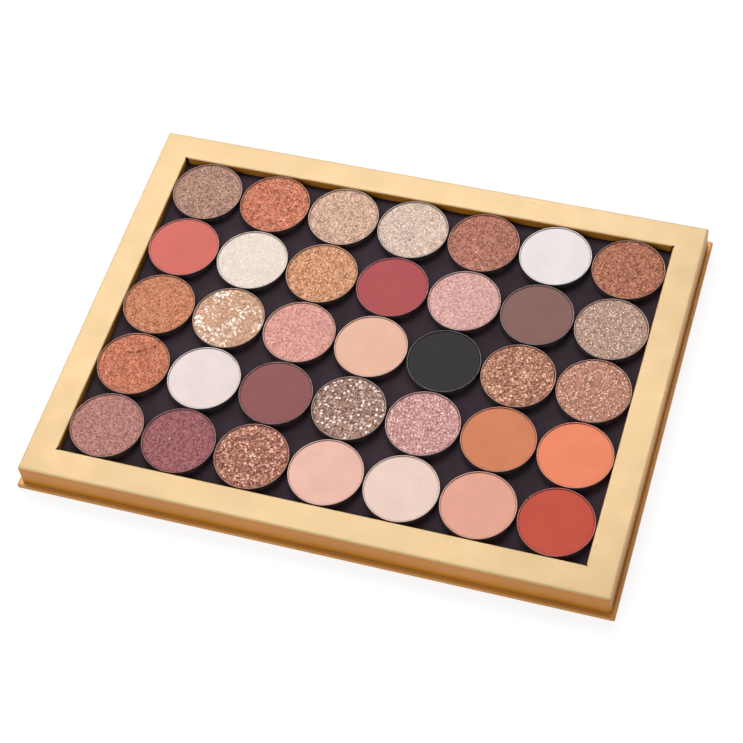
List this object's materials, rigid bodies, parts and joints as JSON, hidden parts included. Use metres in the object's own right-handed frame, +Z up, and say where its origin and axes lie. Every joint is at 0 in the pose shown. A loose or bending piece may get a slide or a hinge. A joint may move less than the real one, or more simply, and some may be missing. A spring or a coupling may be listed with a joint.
{
  "type": "eyeshadow palette",
  "caption": "Open magnetic eyeshadow palette: a low foil-wrapped board box on a wider base board, with rows of round lift-out powder pans in a framed well.",
  "frame": {"origin": "centre of the bounding box's bottom face, on the surface that the palette lies on", "axes": "+X along the rows of pans, +Y towards the back row, +Z up out of the open side"},
  "size_m": [0.2154, 0.1614, 0.0114],
  "materials": {
    "gold_foil_paper": "satin",
    "greyboard": "matte",
    "liner_paper": "matte",
    "magnetic_rubber": "matte",
    "shade_taupe": "satin",
    "shade_coral_copper": "satin",
    "shade_rose_beige": "satin",
    "shade_champagne_foil": "satin",
    "shade_brown_rose": "satin",
    "shade_lilac_white": "matte",
    "shade_red_bronze": "satin",
    "shade_coral_pink": "matte",
    "shade_ivory": "satin",
    "shade_golden_copper": "satin",
    "shade_raspberry": "matte",
    "shade_baby_pink": "satin",
    "shade_cocoa": "matte",
    "shade_silver_greige": "satin",
    "shade_terracotta": "satin",
    "shade_gold_flake": "satin",
    "shade_rose_pink": "satin",
    "shade_peach_beige": "matte",
    "shade_black": "matte",
    "shade_bronze_flake": "satin",
    "shade_rose_glitter": "satin",
    "shade_orange_copper": "satin",
    "shade_pale_pink": "matte",
    "shade_plum_brown": "matte",
    "shade_silver_flake": "satin",
    "shade_mauve_glitter": "satin",
    "shade_orange_tan": "matte",
    "shade_bright_coral": "matte",
    "shade_mauve_rose": "satin",
    "shade_plum": "satin",
    "shade_burgundy_glitter": "satin",
    "shade_light_pink": "matte",
    "shade_cream": "matte",
    "shade_salmon": "matte",
    "shade_red": "matte"
  },
  "bodies": {
    "root": {"base_board": "greyboard", "base_wrap": "gold_foil_paper", "base_liner": "liner_paper", "filler_lower": "greyboard", "filler_upper": "greyboard", "wall_front": "greyboard", "wall_back": "greyboard", "wall_left": "greyboard", "wall_right": "greyboard", "magnet_sheet": "magnetic_rubber", "rail_front": "greyboard", "rail_back": "greyboard", "rail_left": "greyboard", "rail_right": "greyboard", "frame_wrap": "gold_foil_paper"},
    "pan_a1_taupe": {"pan_a1_taupe": "shade_taupe"},
    "pan_a2_coral_copper": {"pan_a2_coral_copper": "shade_coral_copper"},
    "pan_a3_rose_beige": {"pan_a3_rose_beige": "shade_rose_beige"},
    "pan_a4_champagne_foil": {"pan_a4_champagne_foil": "shade_champagne_foil"},
    "pan_a5_brown_rose": {"pan_a5_brown_rose": "shade_brown_rose"},
    "pan_a6_lilac_white": {"pan_a6_lilac_white": "shade_lilac_white"},
    "pan_a7_red_bronze": {"pan_a7_red_bronze": "shade_red_bronze"},
    "pan_b1_coral_pink": {"pan_b1_coral_pink": "shade_coral_pink"},
    "pan_b2_ivory": {"pan_b2_ivory": "shade_ivory"},
    "pan_b3_golden_copper": {"pan_b3_golden_copper": "shade_golden_copper"},
    "pan_b4_raspberry": {"pan_b4_raspberry": "shade_raspberry"},
    "pan_b5_baby_pink": {"pan_b5_baby_pink": "shade_baby_pink"},
    "pan_b6_cocoa": {"pan_b6_cocoa": "shade_cocoa"},
    "pan_b7_silver_greige": {"pan_b7_silver_greige": "shade_silver_greige"},
    "pan_c1_terracotta": {"pan_c1_terracotta": "shade_terracotta"},
    "pan_c2_gold_flake": {"pan_c2_gold_flake": "shade_gold_flake"},
    "pan_c3_rose_pink": {"pan_c3_rose_pink": "shade_rose_pink"},
    "pan_c4_peach_beige": {"pan_c4_peach_beige": "shade_peach_beige"},
    "pan_c5_black": {"pan_c5_black": "shade_black"},
    "pan_c6_bronze_flake": {"pan_c6_bronze_flake": "shade_bronze_flake"},
    "pan_c7_rose_glitter": {"pan_c7_rose_glitter": "shade_rose_glitter"},
    "pan_d1_orange_copper": {"pan_d1_orange_copper": "shade_orange_copper"},
    "pan_d2_pale_pink": {"pan_d2_pale_pink": "shade_pale_pink"},
    "pan_d3_plum_brown": {"pan_d3_plum_brown": "shade_plum_brown"},
    "pan_d4_silver_flake": {"pan_d4_silver_flake": "shade_silver_flake"},
    "pan_d5_mauve_glitter": {"pan_d5_mauve_glitter": "shade_mauve_glitter"},
    "pan_d6_orange_tan": {"pan_d6_orange_tan": "shade_orange_tan"},
    "pan_d7_bright_coral": {"pan_d7_bright_coral": "shade_bright_coral"},
    "pan_e1_mauve_rose": {"pan_e1_mauve_rose": "shade_mauve_rose"},
    "pan_e2_plum": {"pan_e2_plum": "shade_plum"},
    "pan_e3_burgundy_glitter": {"pan_e3_burgundy_glitter": "shade_burgundy_glitter"},
    "pan_e4_light_pink": {"pan_e4_light_pink": "shade_light_pink"},
    "pan_e5_cream": {"pan_e5_cream": "shade_cream"},
    "pan_e6_salmon": {"pan_e6_salmon": "shade_salmon"},
    "pan_e7_red": {"pan_e7_red": "shade_red"}
  },
  "joints": [
    {"name": "lift_a1_taupe", "type": "slide", "parent": "root", "child": "pan_a1_taupe", "axis": [0, 0, 1], "range_m": [0, 0.02]},
    {"name": "lift_a2_coral_copper", "type": "slide", "parent": "root", "child": "pan_a2_coral_copper", "axis": [0, 0, 1], "range_m": [0, 0.02]},
    {"name": "lift_a3_rose_beige", "type": "slide", "parent": "root", "child": "pan_a3_rose_beige", "axis": [0, 0, 1], "range_m": [0, 0.02]},
    {"name": "lift_a4_champagne_foil", "type": "slide", "parent": "root", "child": "pan_a4_champagne_foil", "axis": [0, 0, 1], "range_m": [0, 0.02]},
    {"name": "lift_a5_brown_rose", "type": "slide", "parent": "root", "child": "pan_a5_brown_rose", "axis": [0, 0, 1], "range_m": [0, 0.02]},
    {"name": "lift_a6_lilac_white", "type": "slide", "parent": "root", "child": "pan_a6_lilac_white", "axis": [0, 0, 1], "range_m": [0, 0.02]},
    {"name": "lift_a7_red_bronze", "type": "slide", "parent": "root", "child": "pan_a7_red_bronze", "axis": [0, 0, 1], "range_m": [0, 0.02]},
    {"name": "lift_b1_coral_pink", "type": "slide", "parent": "root", "child": "pan_b1_coral_pink", "axis": [0, 0, 1], "range_m": [0, 0.02]},
    {"name": "lift_b2_ivory", "type": "slide", "parent": "root", "child": "pan_b2_ivory", "axis": [0, 0, 1], "range_m": [0, 0.02]},
    {"name": "lift_b3_golden_copper", "type": "slide", "parent": "root", "child": "pan_b3_golden_copper", "axis": [0, 0, 1], "range_m": [0, 0.02]},
    {"name": "lift_b4_raspberry", "type": "slide", "parent": "root", "child": "pan_b4_raspberry", "axis": [0, 0, 1], "range_m": [0, 0.02]},
    {"name": "lift_b5_baby_pink", "type": "slide", "parent": "root", "child": "pan_b5_baby_pink", "axis": [0, 0, 1], "range_m": [0, 0.02]},
    {"name": "lift_b6_cocoa", "type": "slide", "parent": "root", "child": "pan_b6_cocoa", "axis": [0, 0, 1], "range_m": [0, 0.02]},
    {"name": "lift_b7_silver_greige", "type": "slide", "parent": "root", "child": "pan_b7_silver_greige", "axis": [0, 0, 1], "range_m": [0, 0.02]},
    {"name": "lift_c1_terracotta", "type": "slide", "parent": "root", "child": "pan_c1_terracotta", "axis": [0, 0, 1], "range_m": [0, 0.02]},
    {"name": "lift_c2_gold_flake", "type": "slide", "parent": "root", "child": "pan_c2_gold_flake", "axis": [0, 0, 1], "range_m": [0, 0.02]},
    {"name": "lift_c3_rose_pink", "type": "slide", "parent": "root", "child": "pan_c3_rose_pink", "axis": [0, 0, 1], "range_m": [0, 0.02]},
    {"name": "lift_c4_peach_beige", "type": "slide", "parent": "root", "child": "pan_c4_peach_beige", "axis": [0, 0, 1], "range_m": [0, 0.02]},
    {"name": "lift_c5_black", "type": "slide", "parent": "root", "child": "pan_c5_black", "axis": [0, 0, 1], "range_m": [0, 0.02]},
    {"name": "lift_c6_bronze_flake", "type": "slide", "parent": "root", "child": "pan_c6_bronze_flake", "axis": [0, 0, 1], "range_m": [0, 0.02]},
    {"name": "lift_c7_rose_glitter", "type": "slide", "parent": "root", "child": "pan_c7_rose_glitter", "axis": [0, 0, 1], "range_m": [0, 0.02]},
    {"name": "lift_d1_orange_copper", "type": "slide", "parent": "root", "child": "pan_d1_orange_copper", "axis": [0, 0, 1], "range_m": [0, 0.02]},
    {"name": "lift_d2_pale_pink", "type": "slide", "parent": "root", "child": "pan_d2_pale_pink", "axis": [0, 0, 1], "range_m": [0, 0.02]},
    {"name": "lift_d3_plum_brown", "type": "slide", "parent": "root", "child": "pan_d3_plum_brown", "axis": [0, 0, 1], "range_m": [0, 0.02]},
    {"name": "lift_d4_silver_flake", "type": "slide", "parent": "root", "child": "pan_d4_silver_flake", "axis": [0, 0, 1], "range_m": [0, 0.02]},
    {"name": "lift_d5_mauve_glitter", "type": "slide", "parent": "root", "child": "pan_d5_mauve_glitter", "axis": [0, 0, 1], "range_m": [0, 0.02]},
    {"name": "lift_d6_orange_tan", "type": "slide", "parent": "root", "child": "pan_d6_orange_tan", "axis": [0, 0, 1], "range_m": [0, 0.02]},
    {"name": "lift_d7_bright_coral", "type": "slide", "parent": "root", "child": "pan_d7_bright_coral", "axis": [0, 0, 1], "range_m": [0, 0.02]},
    {"name": "lift_e1_mauve_rose", "type": "slide", "parent": "root", "child": "pan_e1_mauve_rose", "axis": [0, 0, 1], "range_m": [0, 0.02]},
    {"name": "lift_e2_plum", "type": "slide", "parent": "root", "child": "pan_e2_plum", "axis": [0, 0, 1], "range_m": [0, 0.02]},
    {"name": "lift_e3_burgundy_glitter", "type": "slide", "parent": "root", "child": "pan_e3_burgundy_glitter", "axis": [0, 0, 1], "range_m": [0, 0.02]},
    {"name": "lift_e4_light_pink", "type": "slide", "parent": "root", "child": "pan_e4_light_pink", "axis": [0, 0, 1], "range_m": [0, 0.02]},
    {"name": "lift_e5_cream", "type": "slide", "parent": "root", "child": "pan_e5_cream", "axis": [0, 0, 1], "range_m": [0, 0.02]},
    {"name": "lift_e6_salmon", "type": "slide", "parent": "root", "child": "pan_e6_salmon", "axis": [0, 0, 1], "range_m": [0, 0.02]},
    {"name": "lift_e7_red", "type": "slide", "parent": "root", "child": "pan_e7_red", "axis": [0, 0, 1], "range_m": [0, 0.02]}
  ]
}
